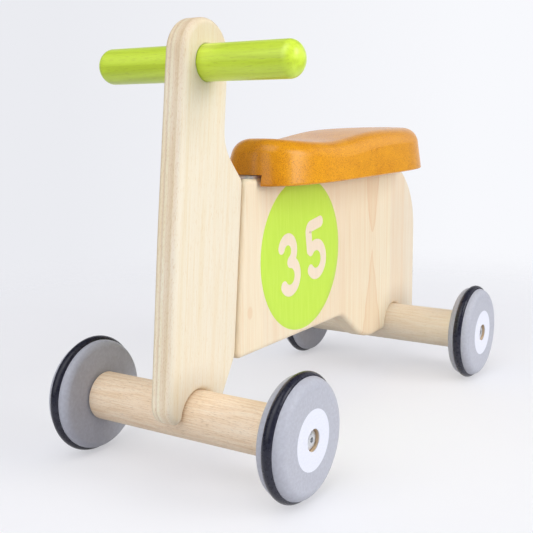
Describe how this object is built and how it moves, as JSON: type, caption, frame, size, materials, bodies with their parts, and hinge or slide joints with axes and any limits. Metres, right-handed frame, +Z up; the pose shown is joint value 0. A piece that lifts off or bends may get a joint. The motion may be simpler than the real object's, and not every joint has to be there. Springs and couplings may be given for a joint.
{
  "type": "balance bike",
  "caption": "Low wooden ride-on balance bike with a moulded saddle, a hinged plywood steering board, a round handlebar and rubber-ringed wheels on round wooden beams.",
  "frame": {"origin": "on the floor, under the middle of the whole toy", "axes": "+X forward, +Y towards the rider's left, +Z up; the steering is straight ahead"},
  "size_m": [0.4748, 0.231, 0.361],
  "materials": {
    "panel_wood": "clear satin lacquer",
    "board_ply": "clear satin lacquer on plywood",
    "beam_wood": "oiled hardwood",
    "green_stain": "green stain under satin lacquer",
    "seat_stain": "orange-ochre stain under satin lacquer",
    "grey_paint": "grey satin paint on wood",
    "tyre_rubber": "smooth black rubber",
    "white_film": "plain white",
    "bush_plastic": "natural",
    "zinc_steel": "zinc plated"
  },
  "bodies": {
    "body_frame": {"body_panel": "panel_wood", "seat": "seat_stain", "seat_dowels": "beam_wood", "rear_axle_beam": "beam_wood", "rear_beam_screw": "zinc_steel", "rear_axle_inserts": "zinc_steel", "rear_wheel_bolts": "zinc_steel", "rear_wheel_washers": "zinc_steel", "hinge_pin": "zinc_steel", "hinge_strap": "zinc_steel", "strap_screws": "zinc_steel", "body_hinge_eye": "zinc_steel"},
    "steering_frame": {"steering_board": "board_ply", "handlebar": "green_stain", "handlebar_screw": "zinc_steel", "front_axle_beam": "beam_wood", "front_beam_screw": "zinc_steel", "front_axle_inserts": "zinc_steel", "front_wheel_bolts": "zinc_steel", "front_wheel_washers": "zinc_steel", "board_hinge_eyes": "zinc_steel"},
    "front_left_roller": {"front_left_wheel": "grey_paint", "front_left_tyre": "tyre_rubber", "front_left_hub_disc": "white_film", "front_left_wheel_bush": "bush_plastic"},
    "front_right_roller": {"front_right_wheel": "grey_paint", "front_right_tyre": "tyre_rubber", "front_right_hub_disc": "white_film", "front_right_wheel_bush": "bush_plastic"},
    "rear_left_roller": {"rear_left_wheel": "grey_paint", "rear_left_tyre": "tyre_rubber", "rear_left_hub_disc": "white_film", "rear_left_wheel_bush": "bush_plastic"},
    "rear_right_roller": {"rear_right_wheel": "grey_paint", "rear_right_tyre": "tyre_rubber", "rear_right_hub_disc": "white_film", "rear_right_wheel_bush": "bush_plastic"}
  },
  "joints": [
    {"name": "steering", "type": "hinge", "parent": "body_frame", "child": "steering_frame", "pos_m": [0.1372, 0, 0.05], "axis": [-0.1063, 0, 0.9943], "range_deg": [-20, 20]},
    {"name": "front_left_spin", "type": "hinge", "parent": "steering_frame", "child": "front_left_roller", "pos_m": [0.1874, 0.10405, 0.05], "axis": [0, 1, 0], "continuous": true},
    {"name": "front_right_spin", "type": "hinge", "parent": "steering_frame", "child": "front_right_roller", "pos_m": [0.1874, -0.10405, 0.05], "axis": [0, 1, 0], "continuous": true},
    {"name": "rear_left_spin", "type": "hinge", "parent": "body_frame", "child": "rear_left_roller", "pos_m": [-0.1812, 0.10405, 0.05], "axis": [0, 1, 0], "continuous": true},
    {"name": "rear_right_spin", "type": "hinge", "parent": "body_frame", "child": "rear_right_roller", "pos_m": [-0.1812, -0.10405, 0.05], "axis": [0, 1, 0], "continuous": true}
  ]
}
